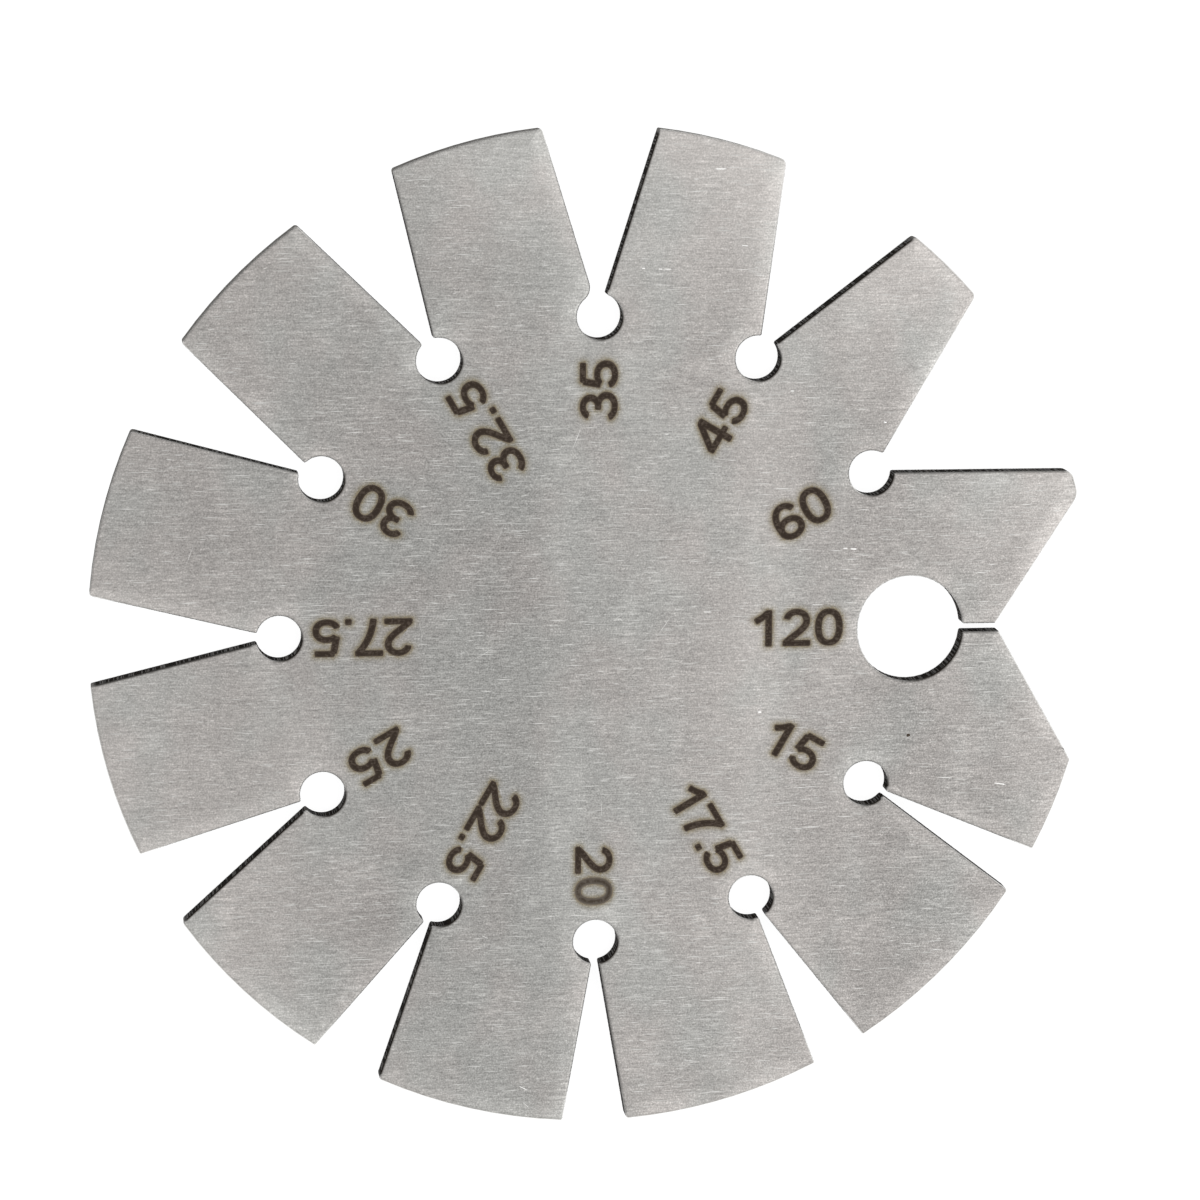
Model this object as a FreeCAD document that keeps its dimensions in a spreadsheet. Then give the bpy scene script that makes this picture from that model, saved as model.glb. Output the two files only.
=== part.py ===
import FreeCAD, Part
import Sketcher

import os
from math import atan2, cos, hypot, pi, radians, sin, sqrt, tan

# Angle gauge: a flat round plate of stainless sheet, cut by laser.
# Twelve V notches stand around the rim, one every 30 degrees. The edge of a tool is
# laid into a notch to read its included angle. Each V runs into a small relief hole,
# so the very tip of the tool never touches. The 120 degree notch ends in a narrow
# slit instead, which opens into the large hole that the gauge hangs by.
# Frame: origin on the underside at the disc centre, +X along the 120 degree notch,
# +Y along the third notch from it (35 degrees), +Z towards the marked face. Millimetres.

DRIVING_SIZES = [
    ("disc_diameter", 60.0, "outer diameter over the finger tips"),
    ("plate_thickness", 1.2, "sheet thickness"),
    ("notch_circle_diameter", 37.7, "circle that carries the relief holes and the V points"),
    ("relief_hole_diameter", 2.7, "tip relief at the point of each V"),
    ("hang_hole_diameter", 6.4, "large hole on the same circle"),
    ("entry_slit_width", 0.5, "slit between the hang hole and the widest V"),
    ("wide_notch_point_radius", 24.02, "centre of the disc to the point of the widest V, along the slit"),
    ("wide_notch_offset", 0.22, "that point's distance from the slit's middle line"),
    ("wide_notch_angle", 120.0, "included angle of the widest V"),
    ("wide_notch_lean", 2.4, "how far the widest V is turned clockwise about its point"),
    ("notch_1_angle", 60.0, "included angles of the other notches, counter-clockwise from it"),
    ("notch_2_angle", 45.0, ""),
    ("notch_3_angle", 35.0, ""),
    ("notch_4_angle", 32.5, ""),
    ("notch_5_angle", 30.0, ""),
    ("notch_6_angle", 27.5, ""),
    ("notch_7_angle", 25.0, ""),
    ("notch_8_angle", 22.5, ""),
    ("notch_9_angle", 20.0, ""),
    ("notch_10_angle", 17.5, ""),
    ("notch_11_angle", 15.0, ""),
    ("blunt_tip_radius", 1.0, "the one well rounded finger corner, beside the widest V"),
    ("shoulder_tip_radius", 0.6, "that finger's other corner"),
    ("soft_corner_radius", 0.36, "finger corners rubbed down on the upper right"),
    ("corner_radius", 0.2, "finger corners as tumbled"),
    ("crisp_corner_radius", 0.1, "finger corners left nearly sharp"),
    ("open_corner_radius", 0.9, "the one corner where a V face runs smoothly into its relief hole"),
    ("relief_corner_radius", 0.12, "the other corners between a V face and its relief hole"),
    ("edge_break", 0.05, "deburring of both faces' outline"),
]

# Which corner rounding each notch has on its clockwise and counter-clockwise side.
CORNER_SIZES = [
    ("crisp_corner_radius", "blunt_tip_radius"),
    ("shoulder_tip_radius", "soft_corner_radius"),
    ("corner_radius", "soft_corner_radius"),
    ("crisp_corner_radius", "corner_radius"),
    ("corner_radius", "corner_radius"),
    ("corner_radius", "corner_radius"),
    ("corner_radius", "crisp_corner_radius"),
    ("crisp_corner_radius", "corner_radius"),
    ("crisp_corner_radius", "corner_radius"),
    ("crisp_corner_radius", "corner_radius"),
    ("crisp_corner_radius", "crisp_corner_radius"),
    ("corner_radius", "crisp_corner_radius"),
]
# The notch and the side of it with the smooth run into the relief hole.
OPEN_CORNER = (3, 1)
NOTCH_COUNT = len(CORNER_SIZES)
PITCH_DEG = 360.0 / NOTCH_COUNT
# The V profiles run past the rim to this share of the disc's radius.
VEE_REACH = 1.2
# Two points nearer than this are one point, in millimetres.
TOLERANCE = 1e-4
# Walls that turn by less than this at an edge, in radians, count as smooth.
SHARP_TURN = 0.02
# Share of a finger's rim that the roundings of its two corners may take.
FILLET_ROOM = 0.95

doc = FreeCAD.newDocument("angle_gauge")


def make_sizes():
    """The spreadsheet that holds the driving dimensions, one alias to a row."""
    sheet = doc.addObject("Spreadsheet::Sheet", "sizes")
    for row, (alias, value, note) in enumerate(DRIVING_SIZES, start=1):
        sheet.set(f"A{row}", alias)
        sheet.set(f"B{row}", str(value))
        sheet.set(f"C{row}", note)
        sheet.setAlias(f"B{row}", alias)
    doc.recompute()
    return sheet


def size(alias):
    """A driving dimension as the sheet gives it."""
    return float(getattr(sizes, alias))


def origin_item(body, role):
    """The body's own origin plane or axis with this role."""
    for item in body.Origin.OriginFeatures:
        if item.Role == role:
            return item
    raise RuntimeError("no origin item " + role)


def new_sketch(body, name, turn_deg=0.0):
    """A sketch on the underside plane, with its X axis turned about the disc's centre."""
    sketch = body.newObject("Sketcher::SketchObject", name)
    sketch.AttachmentSupport = [(origin_item(body, "XY_Plane"), "")]
    sketch.MapMode = "FlatFace"
    turn = FreeCAD.Rotation(FreeCAD.Vector(0, 0, 1), turn_deg)
    sketch.AttachmentOffset = FreeCAD.Placement(FreeCAD.Vector(), turn)
    return sketch


def bound(sketch, name, constraint, expression):
    """Add one dimensional constraint and tie it to the sheet."""
    index = sketch.addConstraint(constraint)
    sketch.renameConstraint(index, name)
    sketch.setExpression("Constraints." + name, expression)


def circle_sketch(body, name, circle_diameter, diameter, turn_deg=0.0):
    """One circle, centred where the sketch's X axis meets a larger circle, or at the disc's centre."""
    sketch = new_sketch(body, name, turn_deg)
    place = FreeCAD.Vector(size(circle_diameter) / 2 if circle_diameter else 0.0, 0, 0)
    ring = sketch.addGeometry(Part.Circle(place, FreeCAD.Vector(0, 0, 1), size(diameter) / 2))
    if circle_diameter:
        sketch.addConstraint(Sketcher.Constraint("PointOnObject", ring, 3, -1))
        bound(sketch, "centre_distance", Sketcher.Constraint("DistanceX", -1, 1, ring, 3, place.x),
              f"sizes.{circle_diameter} / 2")
    else:
        sketch.addConstraint(Sketcher.Constraint("Coincident", ring, 3, -1, 1))
    bound(sketch, "ring_diameter", Sketcher.Constraint("Diameter", ring, size(diameter)),
          f"sizes.{diameter}")
    return sketch


def vee_sketch(body, name, index, turn_deg):
    """A V with its point on or beside the sketch's X axis, open outwards, closed beyond the rim."""
    point = "wide_notch_point_radius" if index == 0 else "notch_circle_diameter / 2"
    lean = "sizes.wide_notch_lean" if index == 0 else "0"
    reach = size("disc_diameter") / 2 * VEE_REACH
    point_radius, offset = notch_point(index)
    low_angle = face_angle(index, 0)
    high_angle = face_angle(index, 1)
    tip = FreeCAD.Vector(point_radius, offset, 0)
    low = FreeCAD.Vector(reach, offset - (reach - point_radius) * tan(low_angle), 0)
    high = FreeCAD.Vector(reach, offset + (reach - point_radius) * tan(high_angle), 0)
    sketch = new_sketch(body, name, turn_deg)
    lower = sketch.addGeometry(Part.LineSegment(tip, low))
    closing = sketch.addGeometry(Part.LineSegment(low, high))
    upper = sketch.addGeometry(Part.LineSegment(tip, high))
    sketch.addConstraint(Sketcher.Constraint("Coincident", lower, 2, closing, 1))
    sketch.addConstraint(Sketcher.Constraint("Coincident", closing, 2, upper, 2))
    sketch.addConstraint(Sketcher.Constraint("Coincident", upper, 1, lower, 1))
    sketch.addConstraint(Sketcher.Constraint("Vertical", closing))
    if offset:
        bound(sketch, "point_offset", Sketcher.Constraint("DistanceY", -1, 1, lower, 1, offset),
              "sizes.wide_notch_offset")
    else:
        sketch.addConstraint(Sketcher.Constraint("PointOnObject", lower, 1, -1))
    bound(sketch, "point_distance", Sketcher.Constraint("DistanceX", -1, 1, lower, 1, point_radius),
          f"sizes.{point}")
    bound(sketch, "reach", Sketcher.Constraint("DistanceX", -1, 1, lower, 2, reach),
          f"sizes.disc_diameter / 2 * {VEE_REACH}")
    bound(sketch, "lower_angle", Sketcher.Constraint("Angle", lower, -low_angle),
          f"-(sizes.{notch_angle(index)} / 2 + {lean}) * 1deg")
    bound(sketch, "upper_angle", Sketcher.Constraint("Angle", upper, high_angle),
          f"(sizes.{notch_angle(index)} / 2 - {lean}) * 1deg")
    return sketch


def slit_sketch(body):
    """A narrow strip from the middle of the hang hole into the mouth of the widest V."""
    start = size("notch_circle_diameter") / 2
    end = size("wide_notch_point_radius") + size("entry_slit_width")
    half = size("entry_slit_width") / 2
    corners = [(start, -half), (end, -half), (end, half), (start, half)]
    points = [FreeCAD.Vector(x, y, 0) for x, y in corners]
    sketch = new_sketch(body, "slit_profile")
    for first, second in zip(points, points[1:] + points[:1]):
        sketch.addGeometry(Part.LineSegment(first, second))
    for edge in range(4):
        sketch.addConstraint(Sketcher.Constraint("Coincident", edge, 2, (edge + 1) % 4, 1))
    sketch.addConstraint(Sketcher.Constraint("Horizontal", 0))
    sketch.addConstraint(Sketcher.Constraint("Horizontal", 2))
    sketch.addConstraint(Sketcher.Constraint("Vertical", 1))
    sketch.addConstraint(Sketcher.Constraint("Symmetric", 3, 1, 3, 2, -1))
    bound(sketch, "slit_start", Sketcher.Constraint("DistanceX", -1, 1, 0, 1, start),
          "sizes.notch_circle_diameter / 2")
    bound(sketch, "slit_end", Sketcher.Constraint("DistanceX", -1, 1, 0, 2, end),
          "sizes.wide_notch_point_radius + sizes.entry_slit_width")
    bound(sketch, "slit_width", Sketcher.Constraint("DistanceY", 1, 1, 1, 2, 2 * half),
          "sizes.entry_slit_width")
    return sketch


def cut_through(body, name, sketch):
    """Cut a profile through the whole sheet and make sure that it took metal away."""
    before = body.Shape.Volume
    cut = body.newObject("PartDesign::Pocket", name)
    cut.Profile = sketch
    cut.Type = "ThroughAll"
    cut.Reversed = True
    body.Tip = cut
    doc.recompute()
    if body.Shape.Volume >= before:
        raise RuntimeError(name + " cuts nothing")
    return cut


def upright_edges(shape):
    """Names and plan positions of the straight edges that cross the sheet at a sharp corner."""
    found = []
    for number, edge in enumerate(shape.Edges, start=1):
        ends = [vertex.Point for vertex in edge.Vertexes]
        if len(ends) != 2 or hypot(ends[0].x - ends[1].x, ends[0].y - ends[1].y) > TOLERANCE:
            continue
        if is_sharp(shape, edge):
            found.append((f"Edge{number}", ends[0].x, ends[0].y))
    return found


def is_sharp(shape, edge):
    """True where the two walls that meet at this edge face different ways."""
    middle = edge.valueAt((edge.FirstParameter + edge.LastParameter) / 2)
    normals = []
    for face in shape.ancestorsOfType(edge, Part.Face):
        u, v = face.Surface.parameter(middle)
        normals.append(face.normalAt(u, v))
    return len(normals) == 2 and normals[0].cross(normals[1]).Length > SHARP_TURN


def notch_point(index):
    """The point of a notch's V: its distance from the disc's centre along the axis, and off the axis."""
    if index == 0:
        return size("wide_notch_point_radius"), size("wide_notch_offset")
    return size("notch_circle_diameter") / 2, 0.0


def face_angle(index, side):
    """Angle between a notch's axis and one V face, in radians: side 0 is clockwise, side 1 the other."""
    lean = size("wide_notch_lean") if index == 0 else 0.0
    return radians(size(notch_angle(index)) / 2 + (-lean if side else lean))


def rim_swing(index, side):
    """Angle at the disc's centre from a notch's axis to where one V face leaves the rim, in radians."""
    face = face_angle(index, side)
    point_radius, offset = notch_point(index)
    offset = offset if side else -offset
    along = point_radius * cos(face) + offset * sin(face)
    run = sqrt((size("disc_diameter") / 2) ** 2 - point_radius ** 2 - offset ** 2 + along ** 2) - along
    return atan2(offset + run * sin(face), point_radius + run * cos(face))


def rim_corner(index, side):
    """Where one V face of a notch leaves the rim."""
    rim = size("disc_diameter") / 2
    swing = rim_swing(index, side)
    direction = radians(index * PITCH_DEG) + (swing if side else -swing)
    return rim * cos(direction), rim * sin(direction)


def rim_taken(index, side):
    """Length of rim that the rounding of a finger corner takes away."""
    turn = pi / 2 - (face_angle(index, side) - rim_swing(index, side))
    return size(CORNER_SIZES[index][side]) * tan(turn / 2)


def rounding_share(index, side):
    """How much of its radius a finger corner may have, so that both roundings fit on the rim."""
    finger = index if side else (index - 1) % NOTCH_COUNT
    following = (finger + 1) % NOTCH_COUNT
    free_angle = radians(PITCH_DEG) - rim_swing(finger, 1) - rim_swing(following, 0)
    free_rim = size("disc_diameter") / 2 * free_angle
    return min(1.0, FILLET_ROOM * free_rim / (rim_taken(finger, 1) + rim_taken(following, 0)))


def notch_angle(index):
    """The alias of a notch's included angle."""
    return "wide_notch_angle" if index == 0 else f"notch_{index}_angle"


def round_edges(body, name, radius, edges, share=1.0):
    """Round upright edges with one radius from the sheet, or a share of it where the rim is short."""
    if not edges:
        return
    base = body.Tip
    rounding = body.newObject("PartDesign::Fillet", name)
    rounding.Base = (base, edges)
    rounding.setExpression("Radius", f"sizes.{radius} * {share:.4f}")
    body.Tip = rounding
    doc.recompute()


def round_finger_corners(body):
    """Each finger corner gets the rounding of its own notch side, the largest radius first."""
    for radius in sorted({alias for pair in CORNER_SIZES for alias in pair}, key=size, reverse=True):
        sides = [(index, side) for index in range(NOTCH_COUNT) for side in (0, 1)
                 if CORNER_SIZES[index][side] == radius]
        corners = [rim_corner(index, side) for index, side in sides]
        share = min(rounding_share(index, side) for index, side in sides)
        chosen = []
        for edge, x, y in upright_edges(body.Shape):
            if any(hypot(x - corner_x, y - corner_y) < TOLERANCE for corner_x, corner_y in corners):
                chosen.append(edge)
        round_edges(body, "round_" + radius, radius, chosen, share)


def round_relief_corners(body):
    """The corner where each V face runs out into its relief hole, and the slit's mouth on the hang hole."""
    circle = size("notch_circle_diameter") / 2
    for radius in ("open_corner_radius", "relief_corner_radius"):
        chosen = []
        for edge, x, y in upright_edges(body.Shape):
            for index in range(NOTCH_COUNT):
                hole = "relief_hole_diameter" if index else "hang_hole_diameter"
                direction = radians(index * PITCH_DEG)
                distance = hypot(x - circle * cos(direction), y - circle * sin(direction))
                side = int(y * cos(direction) > x * sin(direction))
                fitting = "open_corner_radius" if (index, side) == OPEN_CORNER else "relief_corner_radius"
                if abs(distance - size(hole) / 2) < TOLERANCE and radius == fitting:
                    chosen.append(edge)
        round_edges(body, "round_" + radius, radius, chosen)


def break_edges(body):
    """Deburr the whole outline on both faces of the sheet."""
    base = body.Tip
    faces = []
    for number, face in enumerate(base.Shape.Faces, start=1):
        if abs(abs(face.normalAt(0, 0).z) - 1) < TOLERANCE and isinstance(face.Surface, Part.Plane):
            faces.append(f"Face{number}")
    deburr = body.newObject("PartDesign::Chamfer", "deburred_outline")
    deburr.Base = (base, faces)
    deburr.setExpression("Size", "sizes.edge_break")
    body.Tip = deburr
    doc.recompute()


def make_gauge_plate():
    """The whole gauge, which is one piece of sheet."""
    body = doc.addObject("PartDesign::Body", "gauge_plate")
    body.Label = "gauge_plate"
    disc = body.newObject("PartDesign::Pad", "disc")
    disc.Profile = circle_sketch(body, "disc_profile", None, "disc_diameter")
    disc.setExpression("Length", "sizes.plate_thickness")
    body.Tip = disc
    doc.recompute()

    relief_profile = circle_sketch(body, "relief_profile", "notch_circle_diameter",
                                   "relief_hole_diameter", PITCH_DEG)
    relief = cut_through(body, "relief_hole", relief_profile)
    ring = body.newObject("PartDesign::PolarPattern", "relief_hole_ring")
    ring.Originals = [relief]
    ring.Axis = (origin_item(body, "Z_Axis"), [""])
    ring.Angle = PITCH_DEG * (NOTCH_COUNT - 2)
    ring.Occurrences = NOTCH_COUNT - 1
    body.Tip = ring
    doc.recompute()

    for index in range(1, NOTCH_COUNT):
        profile = vee_sketch(body, f"vee_{index}_profile", index, index * PITCH_DEG)
        cut_through(body, f"vee_{index}", profile)

    hang_profile = circle_sketch(body, "hang_profile", "notch_circle_diameter", "hang_hole_diameter")
    cut_through(body, "hang_hole", hang_profile)
    cut_through(body, "entry_slit", slit_sketch(body))
    cut_through(body, "wide_vee", vee_sketch(body, "wide_vee_profile", 0, 0.0))

    round_finger_corners(body)
    round_relief_corners(body)
    break_edges(body)
    return body


def check_document():
    """Stop if anything in the document failed to build."""
    for item in doc.Objects:
        if "Invalid" in item.State or "Error" in item.State:
            raise RuntimeError(item.Name + " did not build")


def write_node(body):
    """Check the finished solid and write it as its own file."""
    shape = body.Shape
    if shape.isNull() or not shape.isValid() or len(shape.Solids) != 1:
        raise RuntimeError(body.Label + " is not one sound solid")
    shape.exportStep(f"parts/{body.Label}.step")
    box = shape.BoundBox
    print(body.Label, round(shape.Volume, 3), "mm3", len(shape.Faces), "faces",
          [round(v, 3) for v in (box.XMin, box.YMin, box.ZMin, box.XMax, box.YMax, box.ZMax)])


sizes = make_sizes()
plate = make_gauge_plate()
check_document()
os.makedirs("parts", exist_ok=True)
write_node(plate)
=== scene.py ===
from math import atan2, cos, degrees, hypot, pi, radians, sin

import bmesh
import bpy
import numpy as np
from mathutils import Matrix, Vector


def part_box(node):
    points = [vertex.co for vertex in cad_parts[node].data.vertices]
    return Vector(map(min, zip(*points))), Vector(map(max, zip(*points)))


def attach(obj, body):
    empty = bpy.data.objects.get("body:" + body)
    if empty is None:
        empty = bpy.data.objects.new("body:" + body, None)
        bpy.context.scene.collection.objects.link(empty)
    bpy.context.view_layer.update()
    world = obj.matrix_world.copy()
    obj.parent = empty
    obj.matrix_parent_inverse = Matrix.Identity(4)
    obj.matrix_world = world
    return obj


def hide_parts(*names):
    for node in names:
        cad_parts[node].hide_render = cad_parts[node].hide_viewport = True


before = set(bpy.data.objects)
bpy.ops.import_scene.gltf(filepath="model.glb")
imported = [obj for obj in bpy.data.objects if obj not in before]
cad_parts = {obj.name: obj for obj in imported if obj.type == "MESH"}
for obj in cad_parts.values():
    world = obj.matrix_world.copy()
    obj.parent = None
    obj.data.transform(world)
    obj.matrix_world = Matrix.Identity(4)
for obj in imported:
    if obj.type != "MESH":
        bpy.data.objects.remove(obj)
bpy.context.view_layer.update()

# Angle gauge: one laser cut, brushed stainless plate with laser marked numbers.
# The scene is in metres. The plate's own layout is given in millimetres, and MM turns it into metres.
MM = 0.001
PLATE_LOW, PLATE_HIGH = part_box("gauge_plate")
UNDERSIDE = PLATE_LOW[2] / MM
TOP = PLATE_HIGH[2] / MM

RIM_RADIUS = 30.0
NOTCH_CIRCLE_RADIUS = 18.85
RELIEF_HOLE_RADIUS = 1.35
HANG_HOLE_RADIUS = 3.2
WIDE_NOTCH_POINT = 24.02
WIDE_NOTCH_OFFSET = 0.22
WIDE_NOTCH_LEAN_DEG = 1.1
SLIT_HALF_WIDTH = 0.25
NOTCH_COUNT = 12
PITCH = 2 * pi / NOTCH_COUNT


# Helpers for objects, nodes and groups

def add(name, data):
    """A new object in the scene, at the origin."""
    thing = bpy.data.objects.new(name, data)
    bpy.context.scene.collection.objects.link(thing)
    return thing


def feed(tree, inputs, wires):
    """Link each named input to a socket, or set it to a value."""
    for key, value in wires.items():
        if isinstance(value, bpy.types.NodeSocket):
            tree.links.new(value, inputs[key])
        else:
            inputs[key].default_value = value


def live(node):
    """The inputs that a node shows in its present mode, by name."""
    return {socket.name: socket for socket in node.inputs if socket.enabled}


def put(tree, kind, wires=None, **settings):
    """Add a node with its settings and its inputs."""
    node = tree.nodes.new(kind)
    for name, value in settings.items():
        setattr(node, name, value)
    feed(tree, node.inputs, wires or {})
    return node


def calc(tree, operation, a, b=0.0, c=0.0):
    """The result of one math node."""
    return put(tree, "ShaderNodeMath", {0: a, 1: b, 2: c}, operation=operation).outputs[0]


def vector_calc(tree, operation, a, b=(0.0, 0.0, 0.0)):
    """The result of one vector math node, which is a number for a length or a distance."""
    outputs = put(tree, "ShaderNodeVectorMath", {0: a, 1: b}, operation=operation).outputs
    return outputs["Value" if operation in ("LENGTH", "DISTANCE") else "Vector"]


def axes_of(tree, place):
    """A vector's three parts, by the names X, Y and Z."""
    return put(tree, "ShaderNodeSeparateXYZ", {0: place}).outputs


def joined(tree, x=0.0, y=0.0, z=0.0):
    """A vector from its three parts."""
    return put(tree, "ShaderNodeCombineXYZ", {"X": x, "Y": y, "Z": z}).outputs[0]


def step(tree, value, low, high):
    """A value's smooth step from 0 at low to 1 at high."""
    wires = {"Value": value, "From Min": low, "From Max": high}
    return put(tree, "ShaderNodeMapRange", wires, interpolation_type="SMOOTHSTEP").outputs["Result"]


def step_down(tree, value, low, high):
    """A value's smooth step from 1 at low to 0 at high."""
    return calc(tree, "SUBTRACT", 1.0, step(tree, value, low, high))


def mix(tree, amount, first, second, mode="MIX"):
    """Two colours mixed by an amount."""
    node = put(tree, "ShaderNodeMix", None, data_type="RGBA", blend_type=mode)
    feed(tree, live(node), {"Factor": amount, "A": first, "B": second})
    return next(socket for socket in node.outputs if socket.enabled)


def mix_number(tree, amount, first, second):
    """Two numbers mixed by an amount."""
    return calc(tree, "MULTIPLY_ADD", amount, calc(tree, "SUBTRACT", second, first), first)


def grey(tree, value):
    """A value as a colour."""
    return put(tree, "ShaderNodeCombineColor", {0: value, 1: value, 2: value}).outputs[0]


def noise(tree, place, scale, detail, offset=(0.0, 0.0, 0.0)):
    """Noise round 0.5, with a scale along each axis in features per millimetre."""
    stretched = put(tree, "ShaderNodeMapping", {"Vector": place, "Scale": scale, "Location": offset})
    wires = {"Vector": stretched.outputs[0], "Scale": 1.0, "Detail": detail}
    return put(tree, "ShaderNodeTexNoise", wires).outputs["Fac"]


def new_group(name, inputs, outputs, kind="ShaderNodeTree"):
    """An empty node group with named sockets, and where its inputs come from and its outputs go."""
    group = bpy.data.node_groups.new(name, kind)
    for label, socket_type in outputs:
        group.interface.new_socket(label, in_out="OUTPUT", socket_type=socket_type)
    for label, socket_type in inputs:
        group.interface.new_socket(label, in_out="INPUT", socket_type=socket_type)
    given = group.nodes.new("NodeGroupInput").outputs
    result = group.nodes.new("NodeGroupOutput").inputs
    return group, given, result


def use(tree, group, wires):
    """A node group placed in a material with its own values, as its outputs."""
    node = tree.nodes.new("ShaderNodeGroup")
    node.node_tree = group
    feed(tree, node.inputs, wires)
    return node.outputs


def place_in_mm(tree):
    """Object coordinates in millimetres."""
    here = put(tree, "ShaderNodeTexCoord").outputs["Object"]
    return put(tree, "ShaderNodeMapping", {"Vector": here, "Scale": (1 / MM, 1 / MM, 1 / MM)}).outputs[0]


def attribute(tree, name):
    """A number that the mesh carries at each of its points."""
    return put(tree, "ShaderNodeAttribute", attribute_name=name, attribute_type="GEOMETRY").outputs["Fac"]


# Shader node groups

# The short streaks and the long ones: stretch along the brushing, strength, and a shift to keep them apart.
STREAK_LAYERS = ((1.0, 1.0, 3.7), (5.0, 0.55, 41.3))
# How much the finer layers of the grain's noise count.
GRAIN_ROUGHNESS = 0.6
# Half the angle of each V, in degrees: an even step down from one notch to the next, from the widest on.
# The first three open further: their number and the degrees to add.
HALF_ANGLE_START = 21.25
HALF_ANGLE_STEP = -1.25
WIDER_NOTCHES = ((0.0, 37.45), (1.0, 10.0), (2.0, 3.75))
# Two notch numbers that differ by less than this are the same.
SAME_NUMBER = 0.1


def make_brushed_grain():
    """Straight brushing along X: short streaks, long streaks and an even speckle, round zero."""
    inputs = [("Position", "NodeSocketVector"), ("Streak Length", "NodeSocketFloat"),
              ("Streak Width", "NodeSocketFloat"), ("Speckle Size", "NodeSocketFloat")]
    outputs = [("Streaks", "NodeSocketFloat"), ("Speckle", "NodeSocketFloat")]
    group, given, result = new_group("brushed_grain", inputs, outputs)
    axes = axes_of(group, given["Position"])
    across = calc(group, "DIVIDE", axes["Y"], given["Streak Width"])
    streaks = None
    for stretch, strength, shift in STREAK_LAYERS:
        along = calc(group, "DIVIDE", axes["X"], calc(group, "MULTIPLY", given["Streak Length"], stretch))
        wires = {"Vector": joined(group, along, across, shift), "Scale": 1.0, "Detail": 2.0,
                 "Roughness": GRAIN_ROUGHNESS}
        layer = put(group, "ShaderNodeTexNoise", wires).outputs["Fac"]
        centred = calc(group, "MULTIPLY", calc(group, "SUBTRACT", layer, 0.5), strength)
        streaks = centred if streaks is None else calc(group, "ADD", streaks, centred)
    group.links.new(streaks, result["Streaks"])
    fineness = calc(group, "DIVIDE", 1.0, given["Speckle Size"])
    wires = {"Vector": given["Position"], "Scale": fineness, "Detail": 1.0, "Roughness": GRAIN_ROUGHNESS}
    speckle = put(group, "ShaderNodeTexNoise", wires).outputs["Fac"]
    group.links.new(calc(group, "SUBTRACT", speckle, 0.5), result["Speckle"])
    return group


def make_outline_distance():
    """Distance of a point from the nearest cut edge of the plate, in millimetres."""
    group, given, result = new_group("outline_distance", [("Position", "NodeSocketVector")],
                                     [("Distance", "NodeSocketFloat")])
    axes = axes_of(group, given["Position"])
    radius = vector_calc(group, "LENGTH", joined(group, axes["X"], axes["Y"]))
    angle = calc(group, "ARCTAN2", axes["Y"], axes["X"])
    sector = calc(group, "ROUND", calc(group, "DIVIDE", angle, PITCH))
    turned = calc(group, "SUBTRACT", angle, calc(group, "MULTIPLY", sector, PITCH))
    station = calc(group, "FLOORED_MODULO", sector, float(NOTCH_COUNT))
    half = calc(group, "MULTIPLY_ADD", station, HALF_ANGLE_STEP, HALF_ANGLE_START)
    for number, extra in WIDER_NOTCHES:
        half = calc(group, "MULTIPLY_ADD", calc(group, "COMPARE", station, number, SAME_NUMBER), extra, half)
    at_wide = calc(group, "COMPARE", station, 0.0, SAME_NUMBER)
    along = calc(group, "MULTIPLY", radius, calc(group, "COSINE", turned))
    aside = calc(group, "MULTIPLY", radius, calc(group, "SINE", turned))
    further = WIDE_NOTCH_POINT - NOTCH_CIRCLE_RADIUS
    point = calc(group, "MULTIPLY_ADD", at_wide, further, NOTCH_CIRCLE_RADIUS)
    past = calc(group, "SUBTRACT", along, point)
    off_point = calc(group, "MULTIPLY_ADD", at_wide, -WIDE_NOTCH_OFFSET, aside)
    lean = calc(group, "MULTIPLY", at_wide, -WIDE_NOTCH_LEAN_DEG)
    half = calc(group, "RADIANS", calc(group, "MULTIPLY_ADD", lean, calc(group, "SIGN", off_point), half))
    face = calc(group, "SUBTRACT",
                calc(group, "MULTIPLY", calc(group, "ABSOLUTE", off_point), calc(group, "COSINE", half)),
                calc(group, "MULTIPLY", past, calc(group, "SINE", half)))
    wider = HANG_HOLE_RADIUS - RELIEF_HOLE_RADIUS
    hole_radius = calc(group, "MULTIPLY_ADD", at_wide, wider, RELIEF_HOLE_RADIUS)
    from_hole = calc(group, "SUBTRACT", along, NOTCH_CIRCLE_RADIUS)
    hole = calc(group, "SUBTRACT", vector_calc(group, "LENGTH", joined(group, from_hole, aside)), hole_radius)
    rim = calc(group, "SUBTRACT", RIM_RADIUS, radius)
    vee = calc(group, "MAXIMUM", face, calc(group, "MULTIPLY", past, -1.0))
    beside_slit = calc(group, "SUBTRACT", calc(group, "ABSOLUTE", aside), SLIT_HALF_WIDTH)
    before_slit = calc(group, "SUBTRACT", NOTCH_CIRCLE_RADIUS, along)
    slit = calc(group, "MAXIMUM", calc(group, "MAXIMUM", beside_slit, past), before_slit)
    # Only the widest notch has the slit, so elsewhere it is put out of the way.
    slit = calc(group, "MULTIPLY_ADD", calc(group, "SUBTRACT", 1.0, at_wide), RIM_RADIUS, slit)
    nearest = calc(group, "MINIMUM", calc(group, "MINIMUM", vee, hole), calc(group, "MINIMUM", rim, slit))
    group.links.new(nearest, result["Distance"])
    return group


# Materials

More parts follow.
